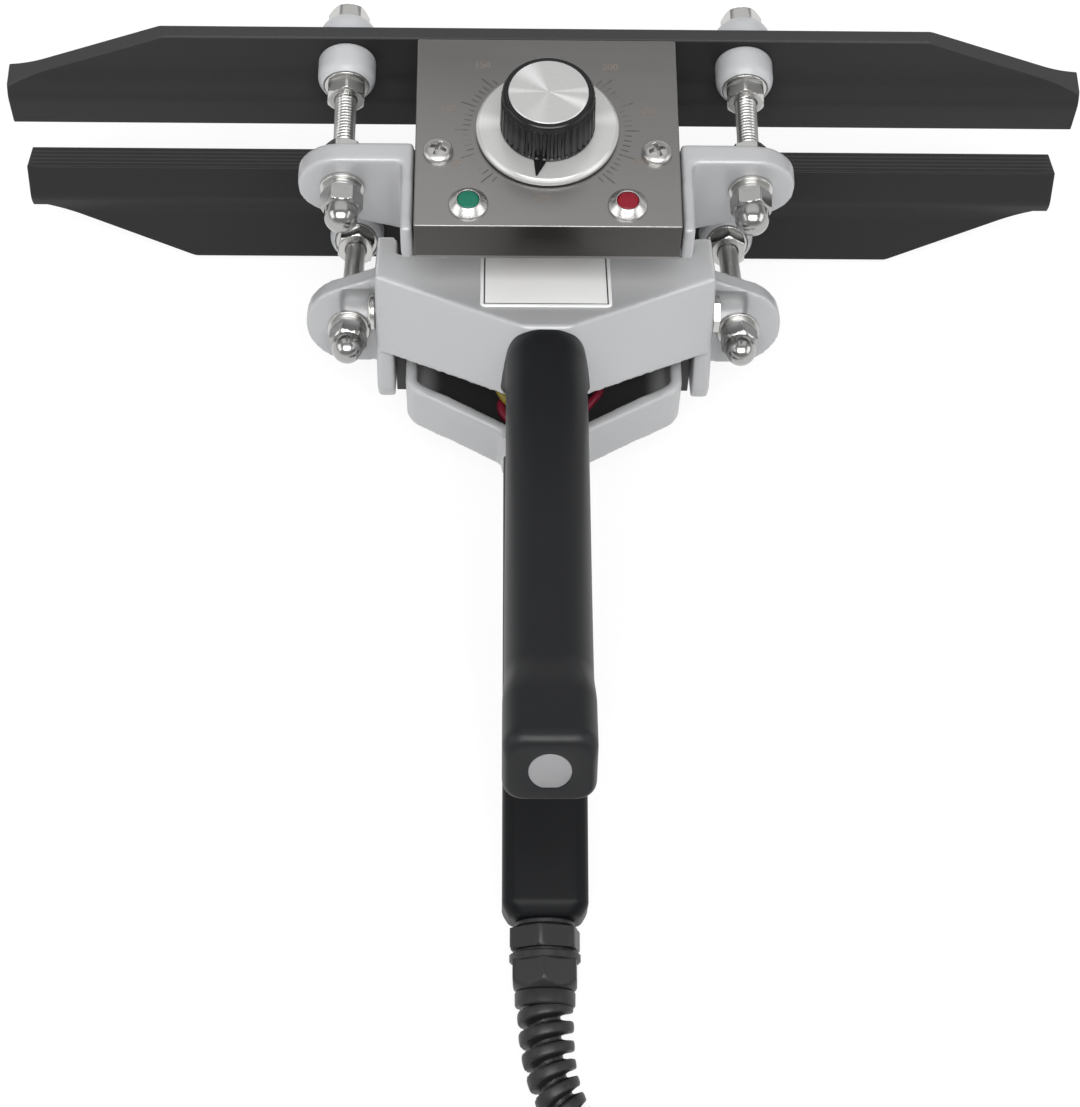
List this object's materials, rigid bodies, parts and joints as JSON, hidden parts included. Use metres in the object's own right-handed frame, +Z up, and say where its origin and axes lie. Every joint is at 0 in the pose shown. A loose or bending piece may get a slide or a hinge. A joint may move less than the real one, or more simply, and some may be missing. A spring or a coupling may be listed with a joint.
{
  "type": "hand-held crimp heat sealer",
  "caption": "Tong-type crimp heat sealer: two long ridged hot jaws on scissor arms, a thermostat box with a knob, two grips and a mains lead.",
  "frame": {"origin": "on the table, under the middle of the sealer's length and width", "axes": "+X along the jaws, to the right for someone holding the grips; +Y from the grips towards the jaws; +Z up"},
  "size_m": [0.3, 0.411, 0.1283],
  "materials": {
    "casting_paint": "satin silver-grey",
    "jaw_coating": "dark satin coating",
    "polished_steel": "polished",
    "cover_steel": "brushed",
    "zinc_steel": "zinc plated",
    "collar_nylon": "translucent white",
    "grip_black": "satin black",
    "black_plastic": "satin black",
    "seal_rubber": "matt",
    "knob_black": "satin black",
    "knob_metal": "brushed",
    "lens_green": "gloss",
    "lens_red": "gloss",
    "cream_plastic": "satin",
    "wire_red": "satin",
    "wire_yellow": "satin",
    "pin_brass": "plated",
    "plate_white": "satin"
  },
  "bodies": {
    "fixed_arm_body": {"base_arm": "casting_paint", "upper_jaw": "jaw_coating", "upper_heater": "zinc_steel", "upper_jaw_bolts": "polished_steel", "upper_collars": "collar_nylon", "upper_hex_nuts": "polished_steel", "upper_washers": "zinc_steel", "upper_lock_washers": "zinc_steel", "upper_acorn_nuts": "polished_steel", "box_cover": "cover_steel", "box_tray": "zinc_steel", "box_screws": "polished_steel", "thermostat": "cream_plastic", "thermostat_nut": "zinc_steel", "lamp_bezels": "polished_steel", "green_lens": "lens_green", "red_lens": "lens_red", "lamp_bodies": "cream_plastic", "terminal_block": "cream_plastic", "pivot_bolt": "zinc_steel", "pivot_nut": "zinc_steel", "guide_plates": "black_plastic", "return_spring": "zinc_steel", "lower_grip": "grip_black", "gland_body": "black_plastic", "gland_nut": "black_plastic", "gland_seal": "seal_rubber", "bend_guard": "black_plastic", "live_wires": "wire_red", "earth_wire": "wire_yellow", "cord": "black_plastic", "cord_coil": "black_plastic", "cord_tail": "black_plastic", "cord_tie": "black_plastic", "plug": "black_plastic", "plug_pins": "pin_brass"},
    "moving_arm_body": {"moving_arm": "casting_paint", "lower_jaw": "jaw_coating", "lower_heater": "zinc_steel", "lower_jaw_bolts": "polished_steel", "lower_collars": "collar_nylon", "lower_hex_nuts": "polished_steel", "lower_washers": "zinc_steel", "lower_lock_washers": "zinc_steel", "lower_acorn_nuts": "polished_steel", "upper_grip": "grip_black", "label_plate": "plate_white"},
    "knob_body": {"knob": "knob_black", "knob_skirt": "knob_metal", "knob_cap": "knob_metal", "thermostat_shaft": "zinc_steel"}
  },
  "joints": [
    {"name": "arm_pivot", "type": "hinge", "parent": "fixed_arm_body", "child": "moving_arm_body", "pos_m": [0, 0.05614, 0.04339], "axis": [1, 0, 0], "range_deg": [0, 22], "stiffness_Nm_per_rad": 2, "springref_deg": -25.78, "deforming": ["return_spring"]},
    {"name": "knob_turn", "type": "hinge", "parent": "fixed_arm_body", "child": "knob_body", "pos_m": [0, 0.08237, 0.09258], "axis": [0, 0.0567, 0.9984], "range_deg": [-285, 0]}
  ]
}
